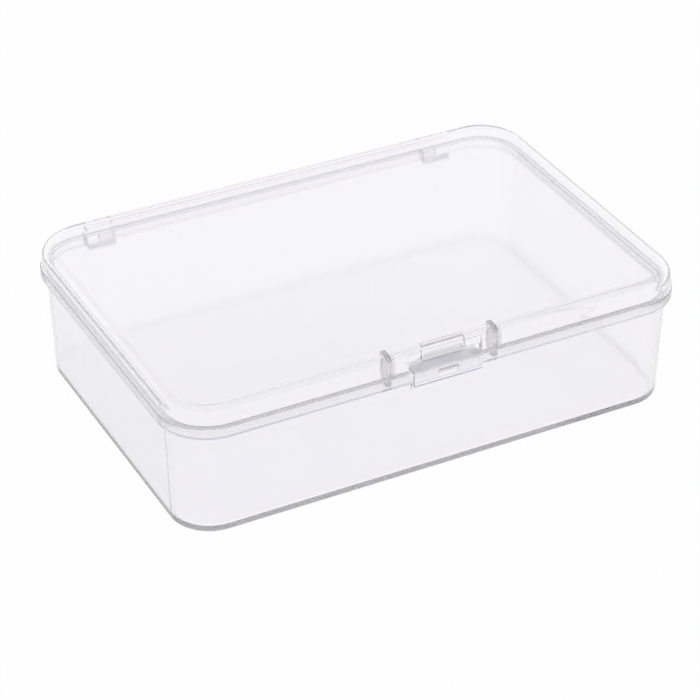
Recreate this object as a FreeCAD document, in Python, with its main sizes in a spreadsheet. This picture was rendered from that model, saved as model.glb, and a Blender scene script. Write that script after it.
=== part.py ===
"""A small clear box with a hinged lid and a snap latch.

The tray, the lid and the latch tongue are three bodies. The origin is on the table under the
middle of the tray: +X runs along the box, -Y is the latch side and +Z is up. Sizes are millimetres.
"""

import FreeCAD, Part
import math
import os

import Sketcher

doc = FreeCAD.newDocument("clear_box")

# Driving dimensions: one row each, with what it measures
SIZES = (
    ("box_length", "95", "rim flange along X"),
    ("box_depth", "65", "rim flange along Y"),
    ("box_height", "25", "table to lid top"),
    ("corner_radius", "8.8", "rim flange corner, seen from above"),
    ("edge_radius", "0.2", "small rounding on rim and skirt edges"),
    ("cut_overrun", "1", "how far a cut runs past the face it opens"),
    ("lid_height", "3.7", "lid skirt's foot to lid top"),
    ("flange_height", "1.9", "rim flange, top to bottom"),
    ("flange_overhang", "1", "rim flange beyond the wall at the rim"),
    ("wall_thickness", "0.9", "tray wall"),
    ("wall_lean", "0.6", "how far each wall leans in from rim to foot"),
    ("floor_thickness", "0.8", "tray floor"),
    ("foot_radius", "0.5", "outer edge of the tray foot"),
    ("floor_radius", "0.6", "inner edge of the tray floor"),
    ("seam_gap", "0.1", "lid skirt above the rim"),
    ("lid_inset", "0.4", "lid skirt inside the flange face"),
    ("skirt_thickness", "1", "lid skirt"),
    ("top_thickness", "1", "lid top"),
    ("lid_radius", "2", "outer edge of the lid top"),
    ("lid_inner_radius", "1", "inner edge of the lid top"),
    ("rib_spacing", "19.7", "between the middles of the guide ribs"),
    ("rib_thickness", "0.9", "guide rib along X"),
    ("rib_proud", "0.3", "guide rib beyond the skirt face"),
    ("rib_inset", "3.85", "back edge of a guide rib behind the flange face"),
    ("rib_drop", "2.2", "guide rib below the rim"),
    ("rib_gap", "0.3", "guide rib to the tray wall"),
    ("rib_radius", "1.7", "rounded front shoulder of a guide rib"),
    ("notch_width", "13.6", "opening in the skirt for the thumb ledge, and recess above it"),
    ("notch_rise", "0.5", "opening above the start of the thumb ledge"),
    ("recess_depth", "0.5", "recess in the skirt face beside the latch"),
    ("tongue_width", "7.5", "latch root and plate"),
    ("tongue_thickness", "0.8", "latch plate"),
    ("root_radius", "0.6", "latch root bar"),
    ("root_inset", "2", "axis of the root bar behind the flange face"),
    ("root_end_gap", "0.15", "root bar to each end of its groove"),
    ("ledge_width", "12.6", "thumb ledge at its lip, and apron"),
    ("ledge_drop", "2.7", "lid top to the start of the thumb ledge"),
    ("ledge_lip", "0.4", "front face of the thumb ledge above the lid's foot"),
    ("ledge_cove", "1", "hollow where the plate turns into the ledge"),
    ("apron_gap", "0.15", "apron to the flange face"),
    ("apron_thickness", "0.7", "apron in front of the flange"),
    ("apron_drop", "0.3", "apron below the rim flange"),
    ("window_width", "3.8", "window in the apron"),
    ("window_sill", "0.8", "bar below the window"),
    ("window_height", "1.25", "window, sill to top"),
    ("nib_gap", "0.2", "catch nib to the window, each side and below"),
    ("nib_height", "0.85", "catch nib at its root"),
    ("nib_hook", "0.55", "how far the catch nib stands into the window"),
    ("nib_slope", "0.3", "how much the nib narrows at its top and at its bottom"),
    ("wedge_width", "12", "wedge under the flange, behind the latch"),
    ("wedge_height", "3", "wedge, flange foot to its end inside the wall"),
    ("wedge_inset", "0.3", "wedge behind the flange face"),
    ("hinge_length", "72", "over both hinge ears"),
    ("ear_length", "5", "hinge ear along X"),
    ("knuckle_radius", "1.2", "hinge barrel and ears"),
    ("knuckle_gap", "0.25", "hinge barrel to each ear and to the flange face"),
    ("pin_radius", "0.65", "stub pin of the hinge barrel"),
    ("pin_reach", "2.5", "stub pin inside an ear"),
    ("pin_end_gap", "0.3", "stub pin to the end of its bore"),
    ("running_gap", "0.05", "radial clearance of the stub pins and of the latch root"),
    ("hinge_drop", "1.85", "hinge axis below the rim"),
    ("web_thickness", "0.6", "shelf and web that carry the hinge barrel"),
)

sheet = doc.addObject("Spreadsheet::Sheet", "dim")
for row, (alias, value, note) in enumerate(SIZES, start=1):
    sheet.set(f"A{row}", alias)
    sheet.set(f"B{row}", value)
    sheet.set(f"C{row}", note)
    sheet.setAlias(f"B{row}", alias)
doc.recompute()

# Places that several pieces share, as expressions of the sheet
FLANGE_FRONT = "(-dim.box_depth / 2)"
FLANGE_BACK = "(dim.box_depth / 2)"
LID_FOOT = "(dim.box_height - dim.lid_height)"
RIM_HEIGHT = f"({LID_FOOT} - dim.seam_gap)"
FLANGE_FOOT = f"({RIM_HEIGHT} - dim.flange_height)"
WALL_INSET = "(dim.flange_overhang + dim.wall_thickness)"
LEAN_ANGLE = f"atan(dim.wall_lean / {RIM_HEIGHT})"
LID_UNDERSIDE = "(dim.box_height - dim.top_thickness)"
SKIRT_FRONT = f"({FLANGE_FRONT} + dim.lid_inset)"
SKIRT_BACK = f"({FLANGE_BACK} - dim.lid_inset)"
SKIRT_INSET = "(dim.lid_inset + dim.skirt_thickness)"
ROOT_Y = f"({FLANGE_FRONT} + dim.root_inset)"
ROOT_Z = "(dim.box_height - dim.root_radius)"
LEDGE_TOP = "(dim.box_height - dim.ledge_drop)"
HINGE_Y = f"({FLANGE_BACK} + dim.knuckle_gap + dim.knuckle_radius)"
HINGE_Z = f"({RIM_HEIGHT} - dim.hinge_drop)"
EAR_INNER_X = "(dim.hinge_length / 2 - dim.ear_length)"
APRON_BACK = f"({FLANGE_FRONT} - dim.apron_gap)"
APRON_FRONT = f"({APRON_BACK} - dim.apron_thickness)"
APRON_FOOT = f"({FLANGE_FOOT} - dim.apron_drop)"
WINDOW_SILL_Z = f"({APRON_FOOT} + dim.window_sill)"


def measure(expression):
    """The number that an expression of the sheet comes to."""
    return float(FreeCAD.Units.Quantity(sheet.evalExpression(expression)).Value)


# Two places closer than this share of the box count as one
TOUCHING_SHARE = 1e-6
TOUCHING = TOUCHING_SHARE * measure("dim.box_length")


def new_body(name):
    """A body whose label names its file."""
    body = doc.addObject("PartDesign::Body", name)
    body.Label = name
    return body


def plane_of(body, role):
    """One of the body's own origin planes."""
    return next(plane for plane in body.Origin.OriginFeatures if plane.Role == role)


def new_sketch(body, name, role, lift="0"):
    """A sketch on an origin plane, lifted along the plane's normal."""
    sketch = body.newObject("Sketcher::SketchObject", name)
    sketch.AttachmentSupport = [(plane_of(body, role), "")]
    sketch.MapMode = "FlatFace"
    sketch.setExpression("AttachmentOffset.Base.z", lift)
    return sketch


def hold(sketch, kind, geometry, expression):
    """A constraint whose value follows an expression of the sheet."""
    index = sketch.addConstraint(Sketcher.Constraint(kind, *geometry, measure(expression)))
    sketch.setExpression(f"Constraints[{index}]", expression)


def hold_point(sketch, geometry, across, up):
    """Fix a point of the sketch at its distances from the sketch's origin."""
    hold(sketch, "DistanceX", (-1, 1, *geometry), across)
    hold(sketch, "DistanceY", (-1, 1, *geometry), up)


def draw_outline(sketch, corners):
    """A closed outline of straight lines through corners given as pairs of expressions."""
    points = [FreeCAD.Vector(measure(across), measure(up), 0) for across, up in corners]
    for start, end in zip(points, points[1:] + points[:1]):
        sketch.addGeometry(Part.LineSegment(start, end))
    for line in range(len(corners)):
        following = (line + 1) % len(corners)
        sketch.addConstraint(Sketcher.Constraint("Coincident", line, 2, following, 1))
    for line, (across, up) in enumerate(corners):
        hold_point(sketch, (line, 1), across, up)


def draw_circle(sketch, across, up, radius):
    """A circle about a point given by expressions."""
    centre = FreeCAD.Vector(measure(across), measure(up), 0)
    normal = FreeCAD.Vector(0, 0, 1)
    sketch.addGeometry(Part.Circle(centre, normal, measure(radius)))
    hold_point(sketch, (0, 3), across, up)
    hold(sketch, "Radius", (0,), radius)


def draw_rounded_rectangle(sketch, inset):
    """The rim flange's outline, drawn in by an inset all round, with concentric corners."""
    half_x = f"(dim.box_length / 2 - {inset})"
    half_y = f"(dim.box_depth / 2 - {inset})"
    radius = f"(dim.corner_radius - {inset})"
    x, y, r = measure(half_x), measure(half_y), measure(radius)
    quarter = math.pi / 2
    centres = ((x - r, y - r), (r - x, y - r), (r - x, r - y), (x - r, r - y))
    for turn, (centre_x, centre_y) in enumerate(centres):
        circle = Part.Circle(FreeCAD.Vector(centre_x, centre_y, 0), FreeCAD.Vector(0, 0, 1), r)
        sketch.addGeometry(Part.ArcOfCircle(circle, turn * quarter, (turn + 1) * quarter))
    for corner in range(4):
        arc, following = sketch.Geometry[corner], sketch.Geometry[(corner + 1) % 4]
        sketch.addGeometry(Part.LineSegment(arc.EndPoint, following.StartPoint))
    for corner in range(4):
        side = corner + 4
        sketch.addConstraint(Sketcher.Constraint("Tangent", corner, 2, side, 1))
        sketch.addConstraint(Sketcher.Constraint("Tangent", side, 2, (corner + 1) % 4, 1))
        direction = "Horizontal" if corner % 2 == 0 else "Vertical"
        sketch.addConstraint(Sketcher.Constraint(direction, side))
    for corner in range(1, 4):
        sketch.addConstraint(Sketcher.Constraint("Equal", 0, corner))
    hold(sketch, "Radius", (0,), radius)
    hold_point(sketch, (0, 3), f"{half_x} - {radius}", f"{half_y} - {radius}")
    hold_point(sketch, (2, 3), f"{radius} - {half_x}", f"{radius} - {half_y}")


def pad(body, name, sketch, length, symmetric=False, lean="0"):
    """Thicken a sketch into the body."""
    feature = body.newObject("PartDesign::Pad", name)
    feature.Profile = sketch
    feature.SideType = "Symmetric" if symmetric else "One side"
    feature.setExpression("Length", length)
    feature.setExpression("TaperAngle", lean)
    doc.recompute()
    return feature


def pocket(body, name, sketch, length, symmetric=False, lean="0", turned=False):
    """Cut a sketch out of the body, and stop if nothing came off."""
    before = body.Shape.Volume
    feature = body.newObject("PartDesign::Pocket", name)
    feature.Profile = sketch
    feature.SideType = "Symmetric" if symmetric else "One side"
    feature.Reversed = turned
    feature.setExpression("Length", length)
    feature.setExpression("TaperAngle", lean)
    doc.recompute()
    if not body.Shape.Volume < before:
        raise RuntimeError(f"{name} cuts nothing")
    return feature


def mirror(body, name, features):
    """Repeat features on the other side of the box's middle plane."""
    feature = body.newObject("PartDesign::Mirrored", name)
    feature.Originals = features
    feature.MirrorPlane = (plane_of(body, "YZ_Plane"), [""])
    body.Tip = feature
    doc.recompute()
    return feature


def round_edges(body, name, radius, chosen):
    """Round the edges of the body's newest feature that the chosen test picks out."""
    base = body.Tip
    names = [f"Edge{k}" for k, edge in enumerate(base.Shape.Edges, start=1) if chosen(edge.BoundBox)]
    if not names:
        raise RuntimeError(f"{name} finds no edge")
    feature = body.newObject("PartDesign::Fillet", name)
    feature.Base = (base, names)
    feature.setExpression("Radius", radius)
    doc.recompute()
    return feature


def flat_at(box, expression):
    """Whether an edge lies level at a height given by an expression."""
    height = measure(expression)
    return max(abs(box.ZMin - height), abs(box.ZMax - height)) < TOUCHING


def along_at(box, across, up):
    """Whether an edge runs along X at a depth and a height given by expressions."""
    depth = measure(across)
    return flat_at(box, up) and max(abs(box.YMin - depth), abs(box.YMax - depth)) < TOUCHING


def make_tray():
    """The lower moulding: leaning walls under a rim flange, the catch and the hinge ears."""
    tray = new_body("tray")

    foot = new_sketch(tray, "tray_foot", "XY_Plane")
    draw_rounded_rectangle(foot, "(dim.flange_overhang + dim.wall_lean)")
    pad(tray, "tray_block", foot, RIM_HEIGHT, lean=LEAN_ANGLE)
    round_edges(tray, "tray_foot_round", "dim.foot_radius", lambda box: flat_at(box, "0"))

    rim = new_sketch(tray, "tray_rim", "XY_Plane", FLANGE_FOOT)
    draw_rounded_rectangle(rim, "0")
    pad(tray, "tray_flange", rim, "dim.flange_height")

    mouth = new_sketch(tray, "tray_mouth", "XY_Plane", RIM_HEIGHT)
    draw_rounded_rectangle(mouth, WALL_INSET)
    pocket(tray, "tray_hollow", mouth, f"{RIM_HEIGHT} - dim.floor_thickness", lean=f"-{LEAN_ANGLE}")
    round_edges(tray, "tray_floor_round", "dim.floor_radius", lambda box: flat_at(box, "dim.floor_thickness"))
    round_edges(tray, "tray_rim_round", "dim.edge_radius", lambda box: flat_at(box, RIM_HEIGHT))

    add_catch(tray)
    add_hinge_ears(tray)
    return tray


def add_catch(tray):
    """The wedge under the front flange, and the nib on its face that the latch window drops over."""
    bedded = f"({FLANGE_FRONT} + dim.flange_overhang + dim.wall_thickness / 2)"
    wedge_front = f"({FLANGE_FRONT} + dim.wedge_inset)"
    flange_middle = f"({FLANGE_FOOT} + dim.flange_height / 2)"
    wedge = new_sketch(tray, "wedge_section", "YZ_Plane")
    draw_outline(wedge, (
        (bedded, f"{FLANGE_FOOT} - dim.wedge_height"),
        (wedge_front, FLANGE_FOOT),
        (wedge_front, flange_middle),
        (bedded, flange_middle),
    ))
    pad(tray, "wedge", wedge, "dim.wedge_width", symmetric=True)

    tip = f"({APRON_BACK} - dim.nib_hook)"
    under = f"({WINDOW_SILL_Z} + dim.nib_gap)"
    over = f"({under} + dim.nib_height)"
    nib = new_sketch(tray, "nib_section", "YZ_Plane")
    draw_outline(nib, (
        (bedded, under),
        (FLANGE_FRONT, under),
        (tip, f"{under} + dim.nib_slope"),
        (tip, f"{over} - dim.nib_slope"),
        (FLANGE_FRONT, over),
        (bedded, over),
    ))
    pad(tray, "catch_nib", nib, "dim.window_width - 2 * dim.nib_gap", symmetric=True)


def add_hinge_ears(tray):
    """Two ears behind the flange, each with a blind bore for a stub pin."""
    bedded = f"({FLANGE_BACK} - dim.flange_overhang)"
    web = new_sketch(tray, "ear_web_section", "YZ_Plane", EAR_INNER_X)
    draw_outline(web, (
        (bedded, f"{HINGE_Z} - dim.knuckle_radius"),
        (HINGE_Y, f"{HINGE_Z} - dim.knuckle_radius"),
        (HINGE_Y, f"{HINGE_Z} + dim.knuckle_radius"),
        (bedded, f"{HINGE_Z} + dim.knuckle_radius"),
    ))
    ear_web = pad(tray, "ear_web", web, "dim.ear_length")
    knuckle = new_sketch(tray, "ear_knuckle_section", "YZ_Plane", EAR_INNER_X)
    draw_circle(knuckle, HINGE_Y, HINGE_Z, "dim.knuckle_radius")
    ear_knuckle = pad(tray, "ear_knuckle", knuckle, "dim.ear_length")
    bore = new_sketch(tray, "ear_bore_section", "YZ_Plane", EAR_INNER_X)
    draw_circle(bore, HINGE_Y, HINGE_Z, "dim.pin_radius + dim.running_gap")
    ear_bore = pocket(tray, "ear_bore", bore, "dim.pin_reach + dim.pin_end_gap", turned=True)
    mirror(tray, "hinge_ears", [ear_web, ear_knuckle, ear_bore])


def make_lid():
    """The upper moulding: flat top and skirt, notched for the latch, with ribs and hinge barrel."""
    lid = new_body("lid")

    outline = new_sketch(lid, "lid_outline", "XY_Plane", LID_FOOT)
    draw_rounded_rectangle(outline, "dim.lid_inset")
    pad(lid, "lid_block", outline, "dim.lid_height")
    round_edges(lid, "lid_top_round", "dim.lid_radius", lambda box: flat_at(box, "dim.box_height"))

    hollow = new_sketch(lid, "lid_hollow_outline", "XY_Plane", LID_FOOT)
    draw_rounded_rectangle(hollow, SKIRT_INSET)
    pocket(lid, "lid_hollow", hollow, f"{LID_UNDERSIDE} - {LID_FOOT}", turned=True)
    round_edges(lid, "lid_inner_round", "dim.lid_inner_radius", lambda box: flat_at(box, LID_UNDERSIDE))
    round_edges(lid, "lid_foot_round", "dim.edge_radius", lambda box: flat_at(box, LID_FOOT))

    cut_latch_notch(lid)
    add_guide_ribs(lid)
    add_hinge_barrel(lid)
    return lid


def cut_latch_notch(lid):
    """The recess and the opening in the front skirt, and the slot and groove for plate and root."""
    inner = f"({SKIRT_FRONT} + dim.skirt_thickness + dim.cut_overrun)"
    recess = f"({SKIRT_FRONT} + dim.recess_depth)"
    above = "(dim.box_height + dim.cut_overrun)"
    slot_width = "dim.tongue_width + 2 * dim.root_end_gap"
    cut_from_front(lid, "recess", recess, above, "dim.notch_width")
    cut_from_front(lid, "notch", inner, f"{LEDGE_TOP} + dim.notch_rise", "dim.notch_width")
    cut_from_front(lid, "swing_slot", ROOT_Y, above, slot_width)

    groove = new_sketch(lid, "groove_section", "YZ_Plane")
    draw_circle(groove, ROOT_Y, ROOT_Z, "dim.root_radius + dim.running_gap")
    pocket(lid, "groove", groove, slot_width, symmetric=True)


def cut_from_front(lid, name, depth, top, width):
    """Cut a block out of the front skirt, from below its foot up to a height and back to a depth."""
    outer = f"({SKIRT_FRONT} - dim.rib_proud - dim.cut_overrun)"
    below = f"({LID_FOOT} - dim.cut_overrun)"
    section = new_sketch(lid, f"{name}_section", "YZ_Plane")
    draw_outline(section, ((outer, below), (depth, below), (depth, top), (outer, top)))
    pocket(lid, name, section, width, symmetric=True)


def add_guide_ribs(lid):
    """Two ribs across the front skirt that reach into the tray and centre the lid."""
    front = f"({SKIRT_FRONT} - dim.rib_proud)"
    guide = f"({FLANGE_FRONT} + {WALL_INSET} + dim.rib_gap)"
    back = f"({FLANGE_FRONT} + dim.rib_inset)"
    foot = f"({RIM_HEIGHT} - dim.rib_drop)"
    section = new_sketch(lid, "rib_section", "YZ_Plane", "(dim.rib_spacing - dim.rib_thickness) / 2")
    draw_outline(section, (
        (front, "dim.box_height"),
        (front, LID_FOOT),
        (guide, LID_FOOT),
        (guide, foot),
        (back, foot),
        (back, "dim.box_height"),
    ))
    rib = pad(lid, "guide_rib", section, "dim.rib_thickness")
    mirror(lid, "guide_ribs", [rib])
    round_edges(lid, "rib_round", "dim.rib_radius", lambda box: along_at(box, front, "dim.box_height"))


def add_hinge_barrel(lid):
    """The shelf behind the skirt, the barrel that hangs from it and a stub pin at each end."""
    barrel_length = f"(2 * {EAR_INNER_X} - 2 * dim.knuckle_gap)"
    skirt_middle = f"({SKIRT_BACK} - dim.skirt_thickness / 2)"
    shelf_foot = f"({LID_FOOT} + dim.edge_radius)"
    shelf_top = f"({shelf_foot} + dim.web_thickness)"
    front = f"({HINGE_Y} - dim.web_thickness / 2)"
    back = f"({HINGE_Y} + dim.web_thickness / 2)"
    shelf = new_sketch(lid, "shelf_section", "YZ_Plane")
    draw_outline(shelf, (
        (skirt_middle, shelf_foot),
        (back, shelf_foot),
        (back, shelf_top),
        (skirt_middle, shelf_top),
    ))
    pad(lid, "shelf", shelf, "dim.hinge_length", symmetric=True)
    web = new_sketch(lid, "barrel_web_section", "YZ_Plane")
    draw_outline(web, ((front, HINGE_Z), (back, HINGE_Z), (back, shelf_top), (front, shelf_top)))
    pad(lid, "barrel_web", web, barrel_length, symmetric=True)
    barrel = new_sketch(lid, "barrel_section", "YZ_Plane")
    draw_circle(barrel, HINGE_Y, HINGE_Z, "dim.knuckle_radius")
    pad(lid, "barrel", barrel, barrel_length, symmetric=True)
    pins = new_sketch(lid, "pin_section", "YZ_Plane")
    draw_circle(pins, HINGE_Y, HINGE_Z, "dim.pin_radius")
    pad(lid, "stub_pins", pins, f"2 * {EAR_INNER_X} + 2 * dim.pin_reach", symmetric=True)


def make_latch_tongue():
    """The snap latch: root bar, plate, flared thumb ledge and the windowed apron."""
    latch = new_body("latch_tongue")
    lip = f"({LID_FOOT} + dim.ledge_lip)"
    plate_front = f"({ROOT_Y} - dim.tongue_thickness / 2)"
    plate_back = f"({ROOT_Y} + dim.tongue_thickness / 2)"

    section = new_sketch(latch, "tongue_section", "YZ_Plane")
    draw_outline(section, (
        (plate_front, ROOT_Z),
        (plate_front, LEDGE_TOP),
        (APRON_FRONT, lip),
        (APRON_FRONT, APRON_FOOT),
        (APRON_BACK, APRON_FOOT),
        (APRON_BACK, LID_FOOT),
        (plate_back, LID_FOOT),
        (plate_back, ROOT_Z),
    ))
    pad(latch, "tongue_block", section, "dim.ledge_width", symmetric=True)
    round_edges(latch, "ledge_cove_hollow", "dim.ledge_cove",
                lambda box: along_at(box, plate_front, LEDGE_TOP))
    narrow_plate(latch, lip)
    cut_window(latch)

    root = new_sketch(latch, "root_section", "YZ_Plane")
    draw_circle(root, ROOT_Y, ROOT_Z, "dim.root_radius")
    pad(latch, "root_bar", root, "dim.tongue_width", symmetric=True)
    return latch


def narrow_plate(latch, lip):
    """Cut the block's sides away above the ledge, so that the plate flares into it."""
    plate_side = "(dim.tongue_width / 2)"
    ledge_side = "(dim.ledge_width / 2)"
    beyond = f"({ledge_side} + dim.cut_overrun)"
    above = "(dim.box_height + dim.cut_overrun)"
    flare = new_sketch(latch, "flare_outline", "XZ_Plane")
    draw_outline(flare, (
        (plate_side, above),
        (plate_side, LEDGE_TOP),
        (ledge_side, lip),
        (beyond, lip),
        (beyond, above),
    ))
    side = pocket(latch, "flare_side", flare, "2 * dim.box_depth", symmetric=True)
    mirror(latch, "flare_sides", [side])


def cut_window(latch):
    """The window in the apron that takes the catch nib."""
    half = "(dim.window_width / 2)"
    top = f"({WINDOW_SILL_Z} + dim.window_height)"
    window = new_sketch(latch, "window_outline", "XZ_Plane", f"-{APRON_FRONT} + dim.cut_overrun")
    draw_outline(window, (
        (f"-{half}", WINDOW_SILL_Z),
        (half, WINDOW_SILL_Z),
        (half, top),
        (f"-{half}", top),
    ))
    pocket(latch, "window", window, "dim.apron_thickness + 2 * dim.cut_overrun")


bodies = [make_tray(), make_lid(), make_latch_tongue()]
doc.recompute()

failed = [item.Name for item in doc.Objects if "Invalid" in item.State or "Error" in item.State]
if failed:
    raise RuntimeError(f"these did not rebuild: {', '.join(failed)}")
for body in bodies:
    if body.Shape.isNull() or not body.Shape.isValid() or len(body.Shape.Solids) != 1:
        raise RuntimeError(f"{body.Label} is not one valid solid")

os.makedirs("parts", exist_ok=True)
for body in bodies:
    body.Shape.exportStep(f"parts/{body.Label}.step")
    print(body.Label, "volume", round(body.Shape.Volume, 1), body.Shape.BoundBox)
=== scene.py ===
# %% [markdown]
# A small clear box with a hinged lid and a snap latch, dressed for a studio picture.
# The real one is three thin mouldings of clear plastic: a tray, a lid that turns on it, and a latch that
# bends out of the lid's front. They could be modelled again here, but their shapes are exact in the packed
# model already, down to the catch and the hinge pins, so nothing would be gained. The lesson is in what makes
# clear plastic look like itself: a bright ground, a darker part of the sky to draw its edges, and a surface
# that is never perfectly smooth. The frame comes first, before anything is added to it.

# %% The frame
import math

import bpy
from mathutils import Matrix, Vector

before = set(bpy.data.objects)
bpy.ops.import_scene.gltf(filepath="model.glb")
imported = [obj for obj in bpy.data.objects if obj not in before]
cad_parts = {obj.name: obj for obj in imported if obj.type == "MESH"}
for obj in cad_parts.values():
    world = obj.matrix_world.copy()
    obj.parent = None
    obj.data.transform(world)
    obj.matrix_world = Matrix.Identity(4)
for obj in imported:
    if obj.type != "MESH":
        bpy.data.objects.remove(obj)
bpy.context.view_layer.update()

# %% [markdown]
# The camera stands to the left of the latch side and looks down on the lid. A camera could be placed by hand
# until the picture looks right, but then each nudge of one value spoils another. Here it is placed by two
# angles about the box, a distance and a lens, which were worked out from the straight edges of the box. The
# long lens far away keeps the long edges nearly parallel.

# %% The camera
VIEW_TURN = math.radians(-27.4095)
VIEW_RISE = math.radians(33.1369)
VIEW_DISTANCE = 0.4646283
FOCAL_PIXELS = 2685.46
IMAGE_PIXELS = 700
SENSOR_WIDTH = 36.0
NEAREST_SEEN = 0.01
AIM_HEIGHT = 0.0125
AIM_RIGHT = -0.0007231
AIM_UP = -0.0061989

back = Vector((
    math.sin(VIEW_TURN) * math.cos(VIEW_RISE),
    -math.cos(VIEW_TURN) * math.cos(VIEW_RISE),
    math.sin(VIEW_RISE),
))
right = Vector((math.cos(VIEW_TURN), math.sin(VIEW_TURN), 0))
up = back.cross(right)
aim = Vector((0, 0, AIM_HEIGHT)) + right * AIM_RIGHT + up * AIM_UP

scene = bpy.context.scene
lens = bpy.data.cameras.new("studio_camera")
lens.sensor_width = SENSOR_WIDTH
lens.lens = FOCAL_PIXELS * SENSOR_WIDTH / IMAGE_PIXELS
lens.clip_start = NEAREST_SEEN
camera = bpy.data.objects.new("studio_camera", lens)
camera.location = aim + back * VIEW_DISTANCE
camera.rotation_euler = back.to_track_quat("Z", "Y").to_euler()
scene.collection.objects.link(camera)
bpy.context.scene.camera = camera
print("camera at", [round(v, 4) for v in camera.location], "lens", round(lens.lens, 1), "mm")

# %% [markdown]
# The light is one even sky, white all round like a tent of white cloth, and a violet grey overhead where the
# tent is open. Lamps could be hung round the box instead, but each would leave a hard glint on the flat lid.
# Clear plastic has no colour of its own to show its form: its edges, ribs and coves are seen because they
# bend a darker part of the surroundings into the eye. The lid mirrors the white, and the edges pick up the
# grey. The grey is a ramp on the height of a direction in the sky, from 0 at the horizon to 1 straight up.
# Light runs a long way inside thin plastic, mirrored from face to face, before it gets out. The usual dozen
# bounces would end it there and leave the edges black, so it may take many more.

# %% The sky
WHITE = (1, 1, 1, 1)
OVERHEAD_GREY = (0.36, 0.35, 0.44, 1)
GREY_STARTS = 0.5
GREY_FULL = 0.64
BOUNCES = 160

scene.view_settings.view_transform = "Standard"
scene.cycles.max_bounces = BOUNCES
scene.cycles.transmission_bounces = BOUNCES
scene.cycles.glossy_bounces = BOUNCES

sky = bpy.data.worlds.new("studio_sky")
scene.world = sky
sky.use_nodes = True
tree = sky.node_tree
tree.nodes.clear()
direction = tree.nodes.new("ShaderNodeTexCoord")
split = tree.nodes.new("ShaderNodeSeparateXYZ")
cloth = tree.nodes.new("ShaderNodeValToRGB")
cloth.color_ramp.interpolation = "EASE"
for stop, place, colour in zip(cloth.color_ramp.elements, (GREY_STARTS, GREY_FULL), (WHITE, OVERHEAD_GREY)):
    stop.position = place
    stop.color = colour
shine = tree.nodes.new("ShaderNodeBackground")
shine.inputs["Strength"].default_value = 1.0
out = tree.nodes.new("ShaderNodeOutputWorld")
tree.links.new(direction.outputs["Generated"], split.inputs[0])
tree.links.new(split.outputs["Z"], cloth.inputs["Fac"])
tree.links.new(cloth.outputs["Color"], shine.inputs["Color"])
tree.links.new(shine.outputs[0], out.inputs["Surface"])
print("sky white up to", GREY_STARTS, "and grey from", GREY_FULL)

# %% [markdown]
# The floor is a plain white sheet. White paint alone would come out grey under the darker part of the sky,
# and the picture's ground is white, so most of what the eye sees of the sheet is a white glow of strength 1.
# The glow is mixed in by the kind of ray: the camera, a mirror ray and a ray through the plastic see it,
# while the light that the sheet throws on the box comes from its paint. The rest of the paint stays in the
# mix, and with it the faint shadow at the foot of the box.

# %% The floor
FLOOR_REACH = 1.5
FLOOR_DROP = 0.00005
FLOOR_PAINT = (0.92, 0.92, 0.92, 1)
GLOW_SHARE = 0.98


def combined(tree, operation, *values):
    """A Math node's output, worked out from values that are numbers or other nodes' outputs."""
    node = tree.nodes.new("ShaderNodeMath")
    node.operation = operation
    for socket, value in zip(node.inputs, values):
        if isinstance(value, bpy.types.NodeSocket):
            tree.links.new(value, socket)
        else:
            socket.default_value = value
    return node.outputs[0]


corners = [
    (side * FLOOR_REACH, end * FLOOR_REACH, -FLOOR_DROP)
    for side, end in ((-1, -1), (1, -1), (1, 1), (-1, 1))
]
sheet = bpy.data.meshes.new("studio_floor")
sheet.from_pydata(corners, [], [(0, 1, 2, 3)])
floor = bpy.data.objects.new("studio_floor", sheet)
scene.collection.objects.link(floor)

paint = bpy.data.materials.new("floor_white")
paint.use_nodes = True
tree = paint.node_tree
tree.nodes.clear()
matt = tree.nodes.new("ShaderNodeBsdfDiffuse")
matt.inputs["Color"].default_value = FLOOR_PAINT
glow = tree.nodes.new("ShaderNodeEmission")
glow.inputs["Strength"].default_value = 1.0
ray = tree.nodes.new("ShaderNodeLightPath").outputs
by_plastic = combined(tree, "MAXIMUM", ray["Is Glossy Ray"], ray["Is Transmission Ray"])
seen = combined(tree, "MAXIMUM", ray["Is Camera Ray"], by_plastic)
mixed = tree.nodes.new("ShaderNodeMixShader")
surface = tree.nodes.new("ShaderNodeOutputMaterial")
tree.links.new(combined(tree, "MULTIPLY", seen, GLOW_SHARE), mixed.inputs["Fac"])
tree.links.new(matt.outputs[0], mixed.inputs[1])
tree.links.new(glow.outputs[0], mixed.inputs[2])
tree.links.new(mixed.outputs[0], surface.inputs["Surface"])
sheet.materials.append(paint)
print("floor", sheet.name, "with", paint.name)

# %% [markdown]
# The plastic is clear, with a breath of lilac and a slight haze: things inside would show, but their edges
# would be soft. A perfect glass shader would be too sharp, and a white one too solid. So the surface lets all
# light through, and a roughness of about a tenth scatters it. Moulded plastic is not even: the polish of the
# mould varies in patches of some millimetres, and the melt leaves long faint ripples as it flows. The first
# is a noise that drives the roughness, and the second a stretched noise that drives a bump.

# %% The unevenness of moulded plastic
EVEN = (1, 1, 1)
PATCH_SIZE = 0.006
PATCH_DETAIL = 3
RIPPLE_SIZE = 0.003
RIPPLE_DETAIL = 2


def noise_on(tree, coordinates, stretch, size, detail):
    """A noise whose features are about size metres wide, after the coordinates are multiplied by stretch."""
    placed = tree.nodes.new("ShaderNodeMapping")
    placed.inputs["Scale"].default_value = stretch
    noise = tree.nodes.new("ShaderNodeTexNoise")
    noise.inputs["Scale"].default_value = 1 / size
    noise.inputs["Detail"].default_value = detail
    tree.links.new(coordinates, placed.inputs["Vector"])
    tree.links.new(placed.outputs["Vector"], noise.inputs["Vector"])
    return noise.outputs["Fac"]


print("patches of", PATCH_SIZE, "m and ripples of", RIPPLE_SIZE, "m")

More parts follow.
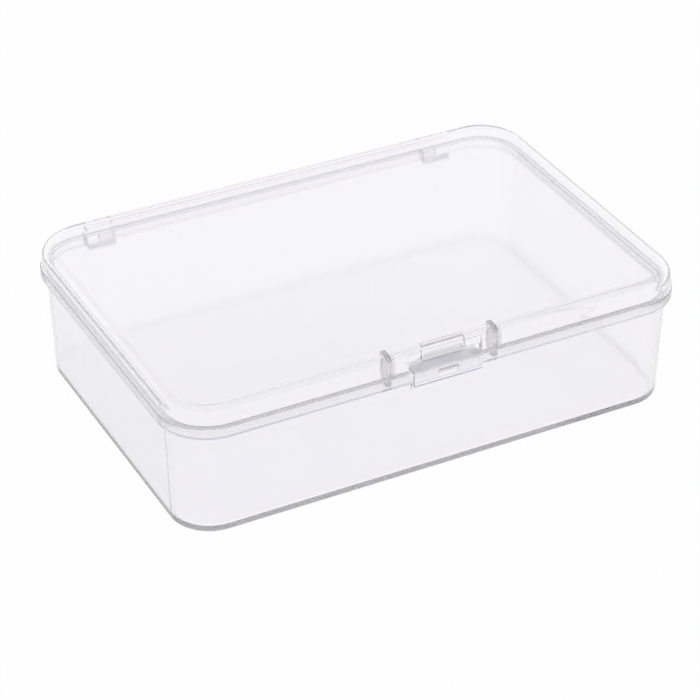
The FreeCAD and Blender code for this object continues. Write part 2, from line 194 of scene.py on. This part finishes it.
# %% [markdown]
# Narrow corners of the mould can't be polished, and what comes out of them is frosted: it scatters the grey
# of the sky and stands out from the clear plastic round it. The frosted faces could have a material of their
# own, but that would mean cutting the mesh up. Frost is more roughness inside a box instead. The box, the
# patches and the ripples all read Object coordinates, so they stay on the piece when the piece turns.

# %% The clear plastic
IOR_OF_PLASTIC = 1.49


def inside_box(tree, coordinates, low, high):
    """1 where |x|, y and z are each no further from the box's middle than half its size, and 0 elsewhere."""
    axes = tree.nodes.new("ShaderNodeSeparateXYZ")
    tree.links.new(coordinates, axes.inputs[0])
    places = (combined(tree, "ABSOLUTE", axes.outputs["X"]), axes.outputs["Y"], axes.outputs["Z"])
    across, along, upward = (
        combined(tree, "COMPARE", place, (start + end) / 2, (end - start) / 2)
        for place, start, end in zip(places, low, high)
    )
    return combined(tree, "MULTIPLY", combined(tree, "MULTIPLY", across, along), upward)


def clear_plastic(name, tint, polish, ripple_stretch, ripple_depth, frost_box, frost):
    """Clear plastic: roughness between the two values of polish by a patchy noise, with frost added to it
    inside frost_box and its mirror image in x, and a rippled bump."""
    plastic = bpy.data.materials.new(name)
    plastic.use_nodes = True
    tree = plastic.node_tree
    shader = tree.nodes["Principled BSDF"]
    shader.inputs["Base Color"].default_value = tint
    shader.inputs["Transmission Weight"].default_value = 1.0
    shader.inputs["IOR"].default_value = IOR_OF_PLASTIC
    coordinates = tree.nodes.new("ShaderNodeTexCoord").outputs["Object"]
    patches = tree.nodes.new("ShaderNodeMapRange")
    patches.inputs["To Min"].default_value = polish[0]
    patches.inputs["To Max"].default_value = polish[1]
    ripples = tree.nodes.new("ShaderNodeBump")
    ripples.inputs["Strength"].default_value = 1.0
    ripples.inputs["Distance"].default_value = ripple_depth
    patchy = noise_on(tree, coordinates, EVEN, PATCH_SIZE, PATCH_DETAIL)
    rippled = noise_on(tree, coordinates, ripple_stretch, RIPPLE_SIZE, RIPPLE_DETAIL)
    frosted = inside_box(tree, coordinates, *frost_box)
    roughness = combined(tree, "MULTIPLY_ADD", frosted, frost, patches.outputs["Result"])
    tree.links.new(patchy, patches.inputs["Value"])
    tree.links.new(rippled, ripples.inputs["Height"])
    tree.links.new(roughness, shader.inputs["Roughness"])
    tree.links.new(ripples.outputs["Normal"], shader.inputs["Normal"])
    print(name, "roughness", polish, "with", frost, "more where frosted, ripples", ripple_depth, "m deep")
    return plastic


# %% [markdown]
# Each moulding gets its own finish of that plastic. The lid's ripples run back from the latch side, and its
# two guide ribs are frosted. The tray's ripples are drawn upwards, the way it leaves its mould, and its rim
# flange has a trace of frost along the front and the sides. The small latch is the best polished, apart from
# its thumb ledge, which is frosted and shows as a grey bar. Each box is given by its lowest and its highest
# corner in the frame's own metres, with x counted from the middle of the box to either side.

# %% The three finishes
LID_TINT = (0.99, 0.984, 1.0, 1)
TRAY_TINT = (0.982, 0.975, 1.0, 1)
RIB_BOX = (0.0092, -0.0326, 0.0185), (0.0105, -0.0284, 0.02395)
RIM_BOX = (0, -0.034, 0.0193), (0.048, 0.029, 0.0213)
LEDGE_BOX = (0, -0.0335, 0.0217), (0.0066, -0.03, 0.0231)

finishes = {
    "lid": clear_plastic(
        "lid_clear", LID_TINT, polish=(0.08, 0.11), ripple_stretch=(1, 0.25, 1), ripple_depth=0.000004,
        frost_box=RIB_BOX, frost=0.19,
    ),
    "tray": clear_plastic(
        "tray_clear", TRAY_TINT, polish=(0.12, 0.16), ripple_stretch=(1, 1, 0.25), ripple_depth=0.000005,
        frost_box=RIM_BOX, frost=0.11,
    ),
    "latch_tongue": clear_plastic(
        "latch_clear", LID_TINT, polish=(0.05, 0.09), ripple_stretch=(1, 1, 0.5), ripple_depth=0.000005,
        frost_box=LEDGE_BOX, frost=0.33,
    ),
}
for name, plastic in finishes.items():
    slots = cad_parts[name].data.materials
    slots.clear()
    slots.append(plastic)
print("finished", sorted(finishes))

# %% [markdown]
# Last, the view layer is brought up to date after the finishes.

# %% Bringing the scene up to date
bpy.context.view_layer.update()
